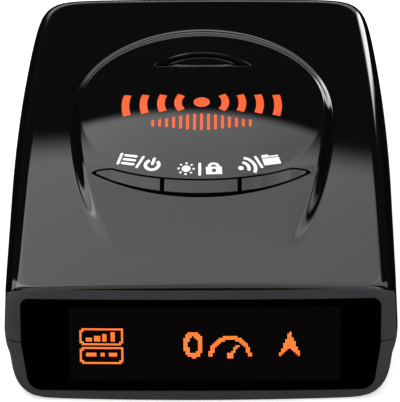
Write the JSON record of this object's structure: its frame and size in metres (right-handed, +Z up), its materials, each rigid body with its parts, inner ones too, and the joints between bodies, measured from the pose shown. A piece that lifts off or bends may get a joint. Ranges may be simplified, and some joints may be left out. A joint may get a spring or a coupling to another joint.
{
  "type": "radar detector",
  "caption": "Windscreen radar and laser detector with a raked display face, a domed top with three keys, and a sprung bracket release.",
  "frame": {"origin": "centre of the bounding box at the flat base", "axes": "+Z up, -Y out of the display face, +Y out of the nose, +X to the right seen from the display end"},
  "size_m": [0.082, 0.1138, 0.031],
  "materials": {
    "gloss_black": "polished injection-moulded ABS",
    "matte_grey": "fine spark-eroded texture on ABS",
    "smoked_window": "smoked acrylic with a hard coat",
    "display_glass": "organic light-emitting display glass",
    "dark_foam": "closed-cell foam",
    "flex_amber": "polyimide flexible circuit",
    "carrier_white": "moulded ABS",
    "circuit_green": "glass-epoxy board with solder mask",
    "chip_black": "moulded epoxy",
    "steel_zinc": "zinc-plated steel",
    "cast_metal": "die-cast zinc, as cast",
    "tin_can": "tinned sheet steel",
    "brass": "turned brass",
    "gold_contact": "gold-plated phosphor bronze",
    "ceramic": "fired ceramic with a silver patch",
    "capacitor_sleeve": "aluminium can in a shrunk sleeve",
    "acetal": "natural acetal",
    "jack_black": "glass-filled nylon",
    "clear_lens": "moulded acrylic",
    "label_foil": "printed polyester foil",
    "spring_wire": "spring steel wire",
    "dark_lens": "infrared-passing acrylic"
  },
  "bodies": {
    "casing": {"top_cover": "gloss_black", "upper_bezel": "matte_grey", "bottom_case": "matte_grey", "display_window": "smoked_window", "window_gasket": "dark_foam", "oled_panel": "display_glass", "oled_flex": "flex_amber", "display_carrier": "carrier_white", "light_sensor": "clear_lens", "key_board": "circuit_green", "key_switches": "chip_black", "key_board_screws": "steel_zinc", "key_flex": "flex_amber", "gps_antenna": "ceramic", "bracket_channel": "jack_black", "channel_screws": "steel_zinc", "front_lens": "dark_lens", "radar_horn": "cast_metal", "rf_board": "circuit_green", "laser_lens": "clear_lens", "laser_board": "circuit_green", "main_board": "circuit_green", "main_chips": "chip_black", "shield_can": "tin_can", "capacitors": "capacitor_sleeve", "backup_cell": "tin_can", "speaker": "chip_black", "speaker_gasket": "dark_foam", "power_jack": "jack_black", "power_contacts": "gold_contact", "usb_socket": "tin_can", "usb_tongue": "jack_black", "phone_jack": "jack_black", "case_screws": "steel_zinc", "screw_inserts": "brass", "board_screws": "steel_zinc", "rating_label": "label_foil"},
    "left_key_body": {"left_key": "gloss_black", "left_key_stem": "acetal"},
    "middle_key_body": {"middle_key": "gloss_black", "middle_key_stem": "acetal"},
    "right_key_body": {"right_key": "gloss_black", "right_key_stem": "acetal"},
    "release_body": {"release_button": "gloss_black", "latch_frame": "acetal", "latch_spring": "spring_wire"}
  },
  "joints": [
    {"name": "left_key_press", "type": "slide", "parent": "casing", "child": "left_key_body", "axis": [0, 0, -1], "range_m": [0, 0.0006], "stiffness_N_per_m": 600, "springref_m": -0.0004},
    {"name": "middle_key_press", "type": "slide", "parent": "casing", "child": "middle_key_body", "axis": [0, 0, -1], "range_m": [0, 0.0006], "stiffness_N_per_m": 600, "springref_m": -0.0004},
    {"name": "right_key_press", "type": "slide", "parent": "casing", "child": "right_key_body", "axis": [0, 0, -1], "range_m": [0, 0.0006], "stiffness_N_per_m": 600, "springref_m": -0.0004},
    {"name": "bracket_release", "type": "slide", "parent": "casing", "child": "release_body", "axis": [0, 0, -1], "range_m": [0, 0.0016], "stiffness_N_per_m": 900, "springref_m": -0.0012, "deforming": ["latch_spring"]}
  ]
}
